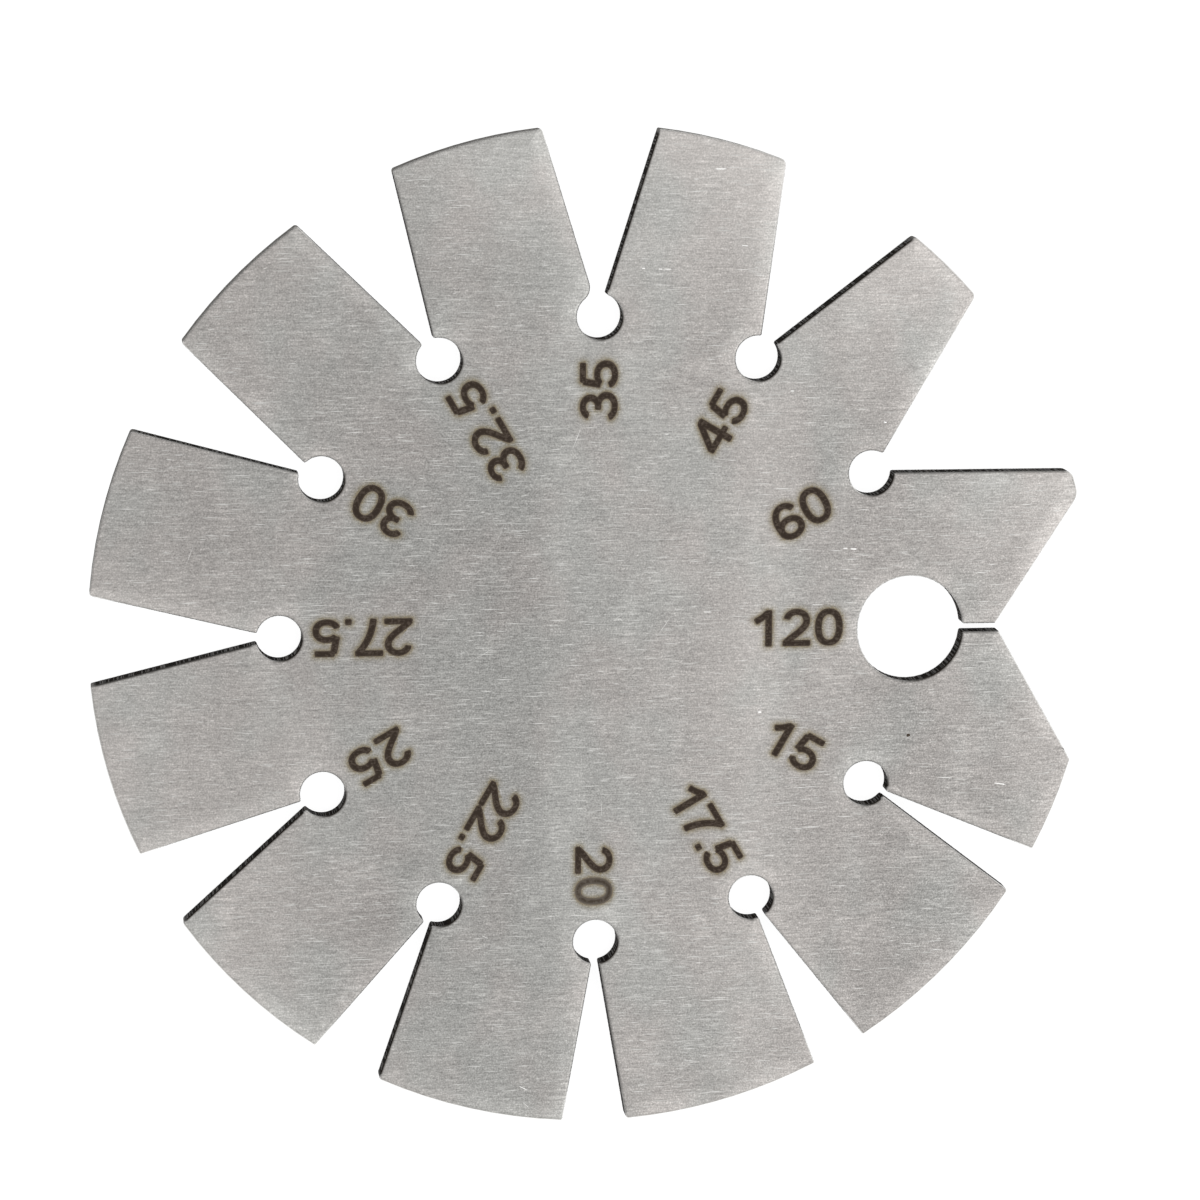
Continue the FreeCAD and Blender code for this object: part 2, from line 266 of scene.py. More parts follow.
# Broad bands across the brushing, partly left by the belt and partly painted reflection of the lamps: place
# along X, half width and gain.
# Their edges wander along X by up to half of BAND_WANDER_MM.
BELT_AND_REFLECTION_BANDS_MM = ((-20.0, 3.0, 0.035), (-10.5, 1.5, -0.020), (-6.0, 2.8, -0.055), (-2.0, 1.0, 0.040),
                 (3.0, 2.0, 0.033), (9.8, 1.6, 0.080), (13.5, 1.2, -0.025), (17.8, 3.0, -0.085),
                 (27.5, 1.6, 0.120))
BAND_WANDER_MM = 3.0
# Painted light and shade: how the steel's brightness drifts over the plate as the light falls on it,
# weights of the powers of x and of y, as shares of the rim's radius, and of their product.
LIGHT_DRIFT_X = (0.185, 0.071, -0.27)
LIGHT_DRIFT_Y = (0.021, 0.167, 0.106)
LIGHT_DRIFT_TWIST = 0.178
EVEN_LEVEL = 0.872
# Painted highlights and shade: soft spots where the light falls brighter or duller: middle, reach and gain.
PAINTED_LIGHT_SPOTS_MM = ((8.5, 18.0, 9.0, -0.085), (15.0, 10.5, 7.5, -0.085), (25.0, 8.5, 7.0, 0.095),
                 (19.0, 20.0, 6.0, 0.110), (-5.0, 27.0, 6.0, 0.120), (-24.5, 8.0, 8.0, -0.060),
                 (10.0, -2.5, 8.0, 0.070), (-13.0, -18.5, 7.5, -0.080), (-16.0, -6.0, 7.0, 0.055),
                 (22.0, -11.0, 8.0, -0.045), (2.5, 26.0, 5.0, -0.060), (-7.5, 16.0, 6.0, 0.050))
LIGHT_STACK_GAIN = 0.30
CLOUD_GAIN = 0.18
COOL_STEEL = (0.408, 0.404, 0.388, 1.0)
WARM_STEEL = (0.425, 0.404, 0.387, 1.0)
# How much warmer the steel is towards its sides, and where along X it is coolest.
WARMER_SIDES = 0.12
COOLEST_AT_MM = -6.0
# The grain of each finish: the sizes of its streaks and speckle in millimetres.
STEEL_GRAIN = {"Streak Length": 0.50, "Streak Width": 0.084, "Speckle Size": 0.098}
MARK_GRAIN = {"Streak Length": 0.30, "Streak Width": 0.09, "Speckle Size": 0.16}
TINT_GRAIN = {"Streak Length": 0.30, "Streak Width": 0.09, "Speckle Size": 0.14}
SPECKLE_STRENGTH = 1.6
STREAK_STRENGTH = 1.15
GRAIN_GAIN = 0.52
GLINT_GAIN = 0.6
FACE_ROUGHNESS = 0.46
BEVEL_ROUGHNESS = 0.28
WALL_ROUGHNESS = 0.95
BRUSHING_DEPTH_MM = 0.02
# Painted highlight: edges that face the light are painted brighter over this width, from the first value to
# the second.
EDGE_HIGHLIGHT_WIDTH_MM = (0.25, 1.30)
EDGE_HIGHLIGHT_GAIN = 0.17
# Painted shade: edges that turn away from it are painted dark over this narrow width.
EDGE_SHADE_WIDTH_MM = (0.03, 0.16)
EDGE_SHADE_STRENGTH = 0.85
# A short way in the direction that an edge faces to catch the light.
BRIGHT_WAY_MM = (0.191, -0.161, 0.0)
OXIDE_DARK = (0.006, 0.005, 0.004, 1.0)
OXIDE_LIGHT = (0.024, 0.020, 0.016, 1.0)
# The light oxide on the ridges of cut walls, and also the colour of the painted shade along edges turned from
# the light.
OXIDE_AND_EDGE_SHADE = (0.050, 0.042, 0.034, 1.0)
# How far up a bevel and a flat face point: from where each begins to where it is complete.
BEVEL_FACING = (0.2, 0.5)
FLAT_FACING = (0.80, 0.95)
# How far an edge with painted highlight faces the bright side and one with painted shade turns from it, given
# in the same way.
LIT_FACING = (-0.60, 0.10)
SHADED_FACING = (-0.45, -0.95)
# Past this radius the walls are the rim's outer wall. It is painted lighter as a painted reflection of the
# bright surroundings and carries no striations. The change is spread over this width.
RIM_WALL_FROM_MM = 29.6
RIM_WALL_BLEND_MM = 0.3
RIM_WALL_REFLECTION = (0.38, 0.37, 0.35, 1.0)
RIM_LINE_REFLECTION = (0.27, 0.26, 0.245, 1.0)
BARE_BEVEL = (0.74, 0.73, 0.71, 1.0)
# The faces roll over a little towards the cut edges.
ROLL_WIDTH_MM = 0.18
ROLL_SLOPE = 0.6


def new_material(name):
    """A material that holds one Principled shader, with its tree."""
    material = bpy.data.materials.new(name)
    material.use_nodes = True
    tree = material.node_tree
    tree.nodes.clear()
    shader = put(tree, "ShaderNodeBsdfPrincipled")
    put(tree, "ShaderNodeOutputMaterial", {"Surface": shader.outputs["BSDF"]})
    return material, tree, shader


def powers(tree, value, weights):
    """A weighted sum of a value's powers, from the first one up."""
    total = 0.0
    for weight in reversed(weights):
        total = calc(tree, "MULTIPLY", calc(tree, "ADD", total, weight), value)
    return total


def painted_broad_shading(tree, place):
    """Painted broad light and shade on the steel: a slow drift, bands partly the belt's and partly painted
    reflection, and painted soft spots.
    """
    axes = axes_of(tree, place)
    wander = noise(tree, place, (0.12, 0.05, 0.0), 1.0)
    across = calc(tree, "MULTIPLY_ADD", calc(tree, "SUBTRACT", wander, 0.5), BAND_WANDER_MM, axes["X"])
    x_share = calc(tree, "DIVIDE", axes["X"], RIM_RADIUS)
    y_share = calc(tree, "DIVIDE", axes["Y"], RIM_RADIUS)
    total = calc(tree, "MULTIPLY_ADD", calc(tree, "MULTIPLY", x_share, y_share), LIGHT_DRIFT_TWIST, EVEN_LEVEL)
    total = calc(tree, "ADD", total, powers(tree, x_share, LIGHT_DRIFT_X))
    total = calc(tree, "ADD", total, powers(tree, y_share, LIGHT_DRIFT_Y))
    for middle, half_width, gain in BELT_AND_REFLECTION_BANDS_MM:
        away = calc(tree, "ABSOLUTE", calc(tree, "SUBTRACT", across, middle))
        total = calc(tree, "MULTIPLY_ADD", step_down(tree, away, 0.0, 2 * half_width), gain, total)
    for x, y, reach, gain in PAINTED_LIGHT_SPOTS_MM:
        away = vector_calc(tree, "DISTANCE", place, (x, y, TOP))
        total = calc(tree, "MULTIPLY_ADD", step_down(tree, away, 0.0, reach), gain, total)
    return total


def light_stacks(tree, place):
    """Here and there a stack of broad light streaks that the belt left."""
    spots = step(tree, noise(tree, place, (0.30, 0.24, 0.0), 2.0, (3.0, 17.0, 0.0)), 0.46, 0.68)
    drawn = step(tree, noise(tree, place, (0.70, 6.5, 0.0), 2.0, (13.0, 5.0, 0.0)), 0.45, 0.75)
    return calc(tree, "MULTIPLY", calc(tree, "MULTIPLY", spots, drawn), LIGHT_STACK_GAIN)


def steel_level(tree, place, texture):
    """How bright the brushed face is at a point, with its painted broad light and shade."""
    # The bright side of the grain stands out more than the dark one.
    glints = calc(tree, "POWER", calc(tree, "MAXIMUM", texture, 0.0), 2.0)
    level = calc(tree, "MULTIPLY_ADD", glints, GLINT_GAIN, calc(tree, "MULTIPLY", texture, GRAIN_GAIN))
    level = calc(tree, "ADD", level, painted_broad_shading(tree, place))
    level = calc(tree, "ADD", level, light_stacks(tree, place))
    clouds = noise(tree, place, (0.30, 0.45, 0.0), 2.0, (31.0, 7.0, 0.0))
    return calc(tree, "MULTIPLY_ADD", calc(tree, "SUBTRACT", clouds, 0.5), CLOUD_GAIN, level)


def steel_tone(tree, place):
    """The steel's own colour, cool and warm in broad patches."""
    patches = noise(tree, place, (0.20, 0.15, 0.0), 2.0)
    sideways = calc(tree, "ABSOLUTE", calc(tree, "SUBTRACT", axes_of(tree, place)["X"], COOLEST_AT_MM))
    patches = calc(tree, "MULTIPLY_ADD", step(tree, sideways, 4.0, 16.0), WARMER_SIDES, patches)
    return mix(tree, step(tree, patches, 0.40, 0.70), COOL_STEEL, WARM_STEEL)


def edge_light(tree, place, outline, distance):
    """How far the nearest edge faces the bright side, from -1 to 1."""
    # The outline's distance a little further along tells which way the edge faces.
    ahead = use(tree, outline, {"Position": vector_calc(tree, "ADD", place, BRIGHT_WAY_MM)})["Distance"]
    return calc(tree, "DIVIDE", calc(tree, "SUBTRACT", distance, ahead), Vector(BRIGHT_WAY_MM).length)


def make_brushed_stainless(grain, outline):
    """Brushed faces with painted light and shade, a bare broken edge and dark laser cut walls, told apart by
    the way they face.
    """
    material, tree, shader = new_material("brushed_stainless")
    place = place_in_mm(tree)
    normal = put(tree, "ShaderNodeTexCoord").outputs["Normal"]
    facing = calc(tree, "ABSOLUTE", axes_of(tree, normal)["Z"])
    is_face = step(tree, facing, *FLAT_FACING)
    is_bevel = step(tree, facing, *BEVEL_FACING)
    axes = axes_of(tree, place)
    radius = vector_calc(tree, "LENGTH", joined(tree, axes["X"], axes["Y"]))
    at_rim = step(tree, radius, RIM_WALL_FROM_MM, RIM_WALL_FROM_MM + RIM_WALL_BLEND_MM)

    brushed = use(tree, grain, {"Position": place, **STEEL_GRAIN})
    texture = calc(tree, "MULTIPLY", brushed["Streaks"], STREAK_STRENGTH)
    texture = calc(tree, "MULTIPLY_ADD", brushed["Speckle"], SPECKLE_STRENGTH, texture)
    level = steel_level(tree, place, texture)
    face_colour = mix(tree, 1.0, steel_tone(tree, place), grey(tree, level), "MULTIPLY")
    distance = use(tree, outline, {"Position": place})["Distance"]
    facing_light = edge_light(tree, place, outline, distance)
    lit_edge = step(tree, facing_light, *LIT_FACING)
    # The painted edge shade is weaker at the rim.
    shaded_edge = calc(tree, "MULTIPLY", step(tree, facing_light, *SHADED_FACING),
                     calc(tree, "MULTIPLY_ADD", at_rim, -0.7, 1.0))
    uneven = noise(tree, place, (0.35, 0.35, 0.0), 1.0, (5.0, 11.0, 0.0))
    uneven = calc(tree, "MULTIPLY_ADD", uneven, 2.4, -0.2)
    # Painted highlight along the edges that face the light.
    edge_highlight = calc(tree, "MULTIPLY", step_down(tree, distance, *EDGE_HIGHLIGHT_WIDTH_MM), lit_edge)
    edge_highlight = calc(tree, "MULTIPLY_ADD", calc(tree, "MULTIPLY", edge_highlight, uneven), EDGE_HIGHLIGHT_GAIN, 1.0)
    # Painted shade along the edges that turn from the light, over a narrow width.
    edge_shade = calc(tree, "MULTIPLY", step_down(tree, distance, *EDGE_SHADE_WIDTH_MM), shaded_edge)
    face_colour = mix(tree, 1.0, face_colour, grey(tree, edge_highlight), "MULTIPLY")
    face_colour = mix(tree, calc(tree, "MULTIPLY", edge_shade, EDGE_SHADE_STRENGTH), face_colour, OXIDE_AND_EDGE_SHADE)

    beam_lines = noise(tree, place, (9.0, 9.0, 0.6), 2.0)
    ridges = step(tree, beam_lines, 0.35, 0.70)
    wall_colour = mix(tree, ridges, OXIDE_DARK, OXIDE_LIGHT)
    # The rim's outer wall takes a painted reflection of the bright surroundings in place of the dark oxide.
    wall_colour = mix(tree, at_rim, wall_colour, mix(tree, ridges, RIM_LINE_REFLECTION, RIM_WALL_REFLECTION))
    # The bevel is bare metal, with painted shade where it turns from the light.
    bevel_colour = mix(tree, shaded_edge, BARE_BEVEL, OXIDE_AND_EDGE_SHADE)
    cut_colour = mix(tree, is_bevel, wall_colour, bevel_colour)
    tree.links.new(mix(tree, is_face, cut_colour, face_colour), shader.inputs["Base Color"])

    roughness = calc(tree, "MULTIPLY_ADD", texture, -0.10, FACE_ROUGHNESS)
    cut_roughness = mix_number(tree, is_bevel, WALL_ROUGHNESS, BEVEL_ROUGHNESS)
    roughness = mix_number(tree, is_face, cut_roughness, roughness)
    tree.links.new(roughness, shader.inputs["Roughness"])
    tree.links.new(is_bevel, shader.inputs["Metallic"])
    height = mix(tree, is_face, grey(tree, beam_lines), grey(tree, texture))
    bump = put(tree, "ShaderNodeBump", {"Height": height, "Strength": 0.35,
                                        "Distance": BRUSHING_DEPTH_MM * MM})
    inwards = calc(tree, "MAXIMUM", calc(tree, "SUBTRACT", ROLL_WIDTH_MM, distance), 0.0)
    sunk = calc(tree, "MULTIPLY", calc(tree, "POWER", inwards, 2.0), -ROLL_SLOPE / (2 * ROLL_WIDTH_MM))
    sunk = calc(tree, "MULTIPLY", sunk, is_face)
    rolled = put(tree, "ShaderNodeBump", {"Height": sunk, "Strength": 1.0, "Distance": MM,
                                          "Normal": bump.outputs[0]})
    tree.links.new(rolled.outputs[0], shader.inputs["Normal"])
    shader.inputs["Specular IOR Level"].default_value = 0.05
    return material


MARK_DARK = (0.036, 0.025, 0.018, 1.0)
MARK_LIGHT = (0.085, 0.065, 0.050, 1.0)
MARK_CONTOUR = (0.066, 0.050, 0.037, 1.0)
FADED_DARK = (0.060, 0.046, 0.034, 1.0)
FADED_LIGHT = (0.120, 0.100, 0.080, 1.0)
FADED_CONTOUR = (0.125, 0.105, 0.085, 1.0)
TINT_NEAR = (0.235, 0.197, 0.150, 1.0)
TINT_FAR = (0.42, 0.345, 0.175, 1.0)
# How deep in a stroke its contour's colour gives way, and the same in a faded stroke.
CONTOUR_DEPTH_MM = (0.01, 0.10)
FADED_DEPTH_MM = (0.02, 0.18)
# The tint's full reach, and the distance over which it falls to about a third.
TINT_REACH_MM = 0.60
TINT_FALL_MM = 0.12
MARK_ROUGHNESS = 0.55
TINT_ROUGHNESS = 0.48
MOTTLING_DEPTH_MM = 0.01
SCRATCH_DULL = (0.44, 0.44, 0.42, 1.0)
SCRATCH_BRIGHT = (0.98, 0.97, 0.95, 1.0)


def make_mark(grain):
    """Steel annealed dark by the laser, mottled, and a little lighter along its contour."""
    material, tree, shader = new_material("annealed_mark")
    place = place_in_mm(tree)
    brushed = use(tree, grain, {"Position": place, **MARK_GRAIN})
    texture = calc(tree, "ADD", brushed["Speckle"], calc(tree, "MULTIPLY", brushed["Streaks"], 0.6))
    mottled = step(tree, texture, -0.05, 0.22)
    inside = mix(tree, mottled, MARK_DARK, MARK_LIGHT)
    depth = calc(tree, "MULTIPLY", attribute(tree, "edge_distance"), -1.0)
    full = mix(tree, step(tree, depth, *CONTOUR_DEPTH_MM), MARK_CONTOUR, inside)
    faded = mix(tree, mottled, FADED_DARK, FADED_LIGHT)
    faded = mix(tree, step(tree, depth, *FADED_DEPTH_MM), FADED_CONTOUR, faded)
    tree.links.new(mix(tree, attribute(tree, "fade"), full, faded), shader.inputs["Base Color"])
    tree.links.new(calc(tree, "MULTIPLY_ADD", texture, 0.3, MARK_ROUGHNESS), shader.inputs["Roughness"])
    bump = put(tree, "ShaderNodeBump", {"Height": texture, "Strength": 0.3,
                                        "Distance": MOTTLING_DEPTH_MM * MM})
    tree.links.new(bump.outputs[0], shader.inputs["Normal"])
    shader.inputs["Metallic"].default_value = 0.6
    shader.inputs["Specular IOR Level"].default_value = 0.2
    return material


def make_tint(grain):
    """The thin brown heat tint round a mark, which dies out away from it."""
    material, tree, shader = new_material("heat_tint")
    place = place_in_mm(tree)
    brushed = use(tree, grain, {"Position": place, **TINT_GRAIN})
    distance = attribute(tree, "edge_distance")
    fading = calc(tree, "EXPONENT", calc(tree, "MULTIPLY", distance, -1.0 / TINT_FALL_MM))
    fading = calc(tree, "MINIMUM", fading, 1.0)
    ending = step_down(tree, distance, TINT_REACH_MM * 0.6, TINT_REACH_MM)
    uneven = calc(tree, "MULTIPLY_ADD", brushed["Speckle"], 1.2, 0.85)
    strength = calc(tree, "MULTIPLY", calc(tree, "MULTIPLY", fading, ending), uneven)
    tree.links.new(strength, shader.inputs["Alpha"])
    tree.links.new(mix(tree, fading, TINT_FAR, TINT_NEAR), shader.inputs["Base Color"])
    roughness = calc(tree, "MULTIPLY_ADD", brushed["Streaks"], 0.2, TINT_ROUGHNESS)
    tree.links.new(roughness, shader.inputs["Roughness"])
    shader.inputs["Metallic"].default_value = 1.0
    return material


def make_scratch():
    """Bright cut metal at the bottom of a brush mark or scratch."""
    material, tree, shader = new_material("bright_scratch")
    shade = attribute(tree, "shade")
    tree.links.new(mix(tree, shade, SCRATCH_DULL, SCRATCH_BRIGHT), shader.inputs["Base Color"])
    tree.links.new(calc(tree, "MULTIPLY_ADD", shade, -0.20, 0.45), shader.inputs["Roughness"])
    shader.inputs["Metallic"].default_value = 1.0
    return material


def make_oxide_ridge():
    """The dull dark skin on the ridges of a laser cut wall."""
    material, tree, shader = new_material("oxide_ridge")
    colour = mix(tree, attribute(tree, "shade"), OXIDE_DARK, OXIDE_AND_EDGE_SHADE)
    tree.links.new(colour, shader.inputs["Base Color"])
    shader.inputs["Roughness"].default_value = 0.6
    shader.inputs["Specular IOR Level"].default_value = 0.2
    return material


# Numbers: strokes of a pen with a plain sans serif shape

DIGIT_HEIGHT = 2.26
PEN = 0.205
# The pen is a little flatter than it is wide, so horizontal strokes come out thinner.
PEN_FLATTENING = 1.12
PEN_CORNER = 0.11
# How far a stroke's ends are drawn out before they are cut off flat.
DRAWN_OUT = 1.0
LOW = PEN / PEN_FLATTENING
HIGH = DIGIT_HEIGHT - LOW
MIDDLE = DIGIT_HEIGHT / 2

# Text, baseline across the notch's axis, and the radius at which each figure's left edge stands.
MARKS = (
    ("120", -0.967, (9.38, 11.11, 13.08)),
    ("60", -1.10, (12.256, 14.156)),
    ("45", -1.078, (12.63, 14.667)),
    ("35", -1.111, (12.733, 14.60)),
    ("32.5", -1.456, (10.71, 12.522, 14.50, 15.244)),
    ("30", -1.256, (13.044, 14.878)),
    ("27.5", -1.10, (10.967, 12.71, 14.556, 15.222)),
    ("25", -1.322, (12.978, 14.956)),
    ("22.5", -1.056, (10.71, 12.433, 14.378, 15.078)),
    ("20", -1.256, (12.933, 14.878)),
    ("17.5", -1.40, (10.933, 12.489, 14.267, 14.889)),
    ("15", -1.256, (12.178, 13.867)),
)
# The laser hardly took on this figure of this mark.
FAINT_MARK, FAINT_FIGURE = "20", 1
GRID_MM = 0.05
FIGURE_WIDTH = 1.9
MARK_HEIGHT_MM = 0.004
TINT_HEIGHT_MM = 0.002


def arc(centre, radii, start_deg, end_deg, squareness=2.0, steps=24):
    """Points along part of an ellipse. Squareness above 2 fills out its corners."""
    points = []
    for k in range(steps + 1):
        turn = radians(start_deg + (end_deg - start_deg) * k / steps)
        reach = [abs(side) ** (2 / squareness) * np.sign(side) for side in (cos(turn), sin(turn))]
        points.append((centre[0] + radii[0] * reach[0], centre[1] + radii[1] * reach[1]))
    return points


def curve(start, handle, end, steps=12):
    """Points along a curve that leaves its start and meets its end towards one handle."""
    points = []
    for k in range(steps + 1):
        t = k / steps
        points.append(tuple((1 - t) ** 2 * a + 2 * t * (1 - t) * b + t * t * c
                            for a, b, c in zip(start, handle, end)))
    return points


def strokes(figure):
    """The pen's paths for one figure, from its left edge and its baseline."""
    if figure == "0":
        return [arc((0.84, MIDDLE), (0.635, MIDDLE - LOW), 90, 450, 2.35, 48)]
    if figure == "1":
        return [[(0.90, 0.0), (0.90, DIGIT_HEIGHT - 0.05)],
                curve((0.07, 1.50), (0.55, 1.72), (0.86, DIGIT_HEIGHT - 0.18))]
    if figure == "2":
        bowl = arc((0.86, 1.545), (0.60, HIGH - 1.545), 172, -28, 2.1)
        neck = curve(bowl[-1], (1.22, 1.0), (0.72, 0.64))[1:]
        return [bowl + neck + curve((0.72, 0.64), (0.33, 0.36), (0.20, LOW + 0.02))[1:],
                [(0.02, LOW), (1.70, LOW)]]
    if figure == "3":
        waist = (0.62, 1.165)
        return [arc((0.80, 1.62), (0.53, HIGH - 1.62), 168, -88, 2.1) + [waist],
                [waist] + arc((0.82, 0.68), (0.66, 0.68 - LOW), 96, -166, 2.1)]
    if figure == "4":
        return [[(1.29, 0.0), (1.29, DIGIT_HEIGHT)], [(1.24, DIGIT_HEIGHT - 0.10), (0.12, 0.70)],
                [(0.0, 0.68), (1.81, 0.68)]]
    if figure == "5":
        return [[(0.36, HIGH), (1.55, HIGH)], [(0.43, HIGH), (0.24, 1.02)],
                arc((0.83, 0.71), (0.64, 0.71 - LOW), 148, -164, 2.15)]
    if figure == "6":
        return [arc((0.87, 0.70), (0.63, 0.70 - LOW), 0, 360, 2.1, 40),
                arc((0.90, 1.12), (0.69, HIGH - 1.12), 34, 188, 2.15) + [(0.245, 0.66)]]
    if figure == "7":
        return [[(0.0, HIGH), (1.68, HIGH)], curve((1.50, HIGH - 0.02), (0.70, 1.25), (0.58, 0.0), 16)]
    return [[(0.02, LOW), (0.42, LOW)]]


def stroke_distance(x, y, path):
    """Signed distance to a pen stroke with flat, softly cornered ends, negative inside it."""
    corners = np.array(path, float) * (1.0, PEN_FLATTENING)
    is_ring = np.allclose(corners[0], corners[-1])
    if not is_ring:
        # The ends are drawn out, and what lies past the true ends is cut off again.
        first, last = corners[0] - corners[1], corners[-1] - corners[-2]
        start = corners[0] + DRAWN_OUT * first / np.hypot(*first)
        end = corners[-1] + DRAWN_OUT * last / np.hypot(*last)
        corners = np.vstack([start, corners, end])
    spans = np.diff(corners, axis=0)
    lengths = np.hypot(*spans.T)
    place = np.stack([x, y * PEN_FLATTENING], -1)
    nearest = np.full(x.shape, np.inf)
    beyond = np.full(x.shape, -np.inf)
    run = 0.0
    for corner, span, length in zip(corners, spans, lengths):
        share = np.clip((place - corner) @ span / length ** 2, 0, 1)
        away = np.hypot(*np.moveaxis(place - corner - share[..., None] * span, -1, 0))
        travelled = run + share * length
        if not is_ring:
            past_end = np.maximum(DRAWN_OUT - travelled, travelled - (lengths.sum() - DRAWN_OUT))
            beyond = np.where(away < nearest, past_end, beyond)
        nearest = np.minimum(nearest, away)
        run += length
    side = nearest - (PEN - PEN_CORNER)
    tail = beyond + PEN_CORNER
    outside = np.hypot(np.maximum(side, 0), np.maximum(tail, 0))
    return outside + np.minimum(np.maximum(side, tail), 0) - PEN_CORNER


def region(x, y, value):
    """Points and triangles of the part of a grid where the value is negative, cut along its zero line."""
    columns = x.shape[1]
    grid = np.stack([x.ravel(), y.ravel()], -1)
    level = value.ravel()
    points, numbers, triangles = [], {}, []

    def number(a, b):
        if (a, b) not in numbers:
            share = 0.0 if a == b else level[a] / (level[a] - level[b])
            numbers[a, b] = len(points)
            points.append(grid[a] + share * (grid[b] - grid[a]))
        return numbers[a, b]

    for row, column in np.argwhere(value[:-1, :-1] < 2 * GRID_MM):
        a = row * columns + column
        for corners in ((a, a + 1, a + columns + 1), (a, a + columns + 1, a + columns)):
            ring = []
            for first, second in zip(corners, corners[1:] + corners[:1]):
                if level[first] < 0:
                    ring.append(number(first, first))
                if (level[first] < 0) != (level[second] < 0):
                    ring.append(number(min(first, second), max(first, second)))
            triangles += [(ring[0], ring[k], ring[k + 1]) for k in range(1, len(ring) - 1)]
    return np.array(points), triangles


def slab(name, points, triangles, low, high, numbers):
    """A closed film between two heights over a flat region, which carries named numbers at its points."""
    count = len(points)
    upper = [tuple(corners) for corners in triangles]
    lower = [tuple(count + corner for corner in reversed(corners)) for corners in triangles]
    edges = {(a, b) for ring in triangles for a, b in zip(ring, ring[1:] + ring[:1])}
    rim = [(b, a, count + a, count + b) for a, b in edges if (b, a) not in edges]
    places = [(px * MM, py * MM, z * MM) for z in (high, low) for px, py in points]
    mesh = bpy.data.meshes.new(name)
    mesh.from_pydata(places, [], upper + lower + sorted(rim))
    for label, values in numbers.items():
        mesh.attributes.new(label, "FLOAT", "POINT").data.foreach_set("value", np.tile(values, 2))
    return add(name, mesh)


def finish_piece(piece, material):
    """Give a piece its material, and let it ride on the plate's body."""
    if material is not None:
        piece.data.materials.clear()
        piece.data.materials.append(material)
    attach(piece, "root")


def make_number(text, station, baseline, lefts, mark_material, tint_material):
    """One marked number on the axis of its notch, read from the plate's centre outwards."""
    reach = TINT_REACH_MM + 4 * GRID_MM
    along = np.arange(lefts[0] - reach, lefts[-1] + FIGURE_WIDTH + reach, GRID_MM)
    across = np.arange(-reach, DIGIT_HEIGHT + reach, GRID_MM)
    x, y = np.meshgrid(along, across)
    distance = np.full(x.shape, np.inf)
    for figure, left in zip(text, lefts):
        for path in strokes(figure):
            distance = np.minimum(distance, stroke_distance(x - left, y, path))
    turn = station * PITCH
    outward = np.array([cos(turn), sin(turn)])
    aside = np.array([-sin(turn), cos(turn)])
    layers = (("mark", 0.0, MARK_HEIGHT_MM, mark_material),
              ("tint", TINT_REACH_MM, TINT_HEIGHT_MM, tint_material))
    for kind, grown, height, material in layers:
        points, triangles = region(x, y, distance - grown)
        columns = np.clip(np.rint((points[:, 0] - along[0]) / GRID_MM).astype(int), 0, len(along) - 1)
        rows = np.clip(np.rint((points[:, 1] - across[0]) / GRID_MM).astype(int), 0, len(across) - 1)
        faint_from = lefts[FAINT_FIGURE] - PEN if text == FAINT_MARK else np.inf
        numbers = {"edge_distance": distance[rows, columns],
                   "fade": (points[:, 0] > faint_from).astype(float)}
        places = points[:, :1] * outward + (points[:, 1:] + baseline) * aside
        film = slab(f"{kind}_{text}", places, triangles, TOP - height, TOP + height, numbers)
        finish_piece(film, material)


# Repeated detail made with geometry nodes

def new_geometry_tree(name, sizes):
    """A geometry node tree with one mesh in, one mesh out and named sizes."""
    kinds = {float: "NodeSocketFloat", int: "NodeSocketInt"}
    mesh = [("Mesh", "NodeSocketGeometry")]
    named = [(label, kinds[type(value)]) for label, value in sizes.items()]
    group, given, result = new_group(name, mesh + named, mesh, "GeometryNodeTree")
    group.is_modifier = True
    return group, given, result


def random_number(tree, low, high, seed, draw):
    """A random number for each point. Each draw of a tree has its own number, which shifts the seed."""
    node = put(tree, "FunctionNodeRandomValue", None, data_type="FLOAT")
    feed(tree, live(node), {"Min": low, "Max": high, "Seed": calc(tree, "ADD", seed, float(draw))})
    return next(socket for socket in node.outputs if socket.enabled)


def compare(tree, data_type, operation, a, b):
    """Whether two numbers compare as the operation says."""
    node = put(tree, "FunctionNodeCompare", None, data_type=data_type, operation=operation)
    feed(tree, live(node), {"A": a, "B": b})
    return node.outputs[0]


def clumped_points(tree, given):
    """Points scattered over a face in clumps, none of them close to its outline."""
    here = put(tree, "GeometryNodeInputPosition").outputs[0]
    here = vector_calc(tree, "DIVIDE", here, joined(tree, given["Clump Width"], given["Clump Length"], 1.0))
    clumps = put(tree, "ShaderNodeTexNoise", {"Vector": here, "Scale": 1.0, "Detail": 1.0}).outputs["Fac"]
    density = calc(tree, "MULTIPLY", given["Density"], step(tree, clumps, 0.35, 0.70))
    points = put(tree, "GeometryNodeDistributePointsOnFaces",
                 {"Mesh": given["Mesh"], "Density": density, "Seed": given["Seed"]}).outputs["Points"]
    # An edge with more than one face lies inside the outline.
    shared = put(tree, "GeometryNodeInputMeshEdgeNeighbors").outputs["Face Count"]
    inner = compare(tree, "INT", "GREATER_THAN", shared, 1)
    outline = put(tree, "GeometryNodeDeleteGeometry", {"Geometry": given["Mesh"], "Selection": inner},
                  domain="EDGE", mode="EDGE_FACE").outputs[0]
    away = put(tree, "GeometryNodeProximity", {0: outline}, target_element="EDGES").outputs["Distance"]
    close = compare(tree, "FLOAT", "LESS_THAN", away, given["Clearance"])
    return put(tree, "GeometryNodeDeleteGeometry", {"Geometry": points, "Selection": close},
               domain="POINT").outputs[0]


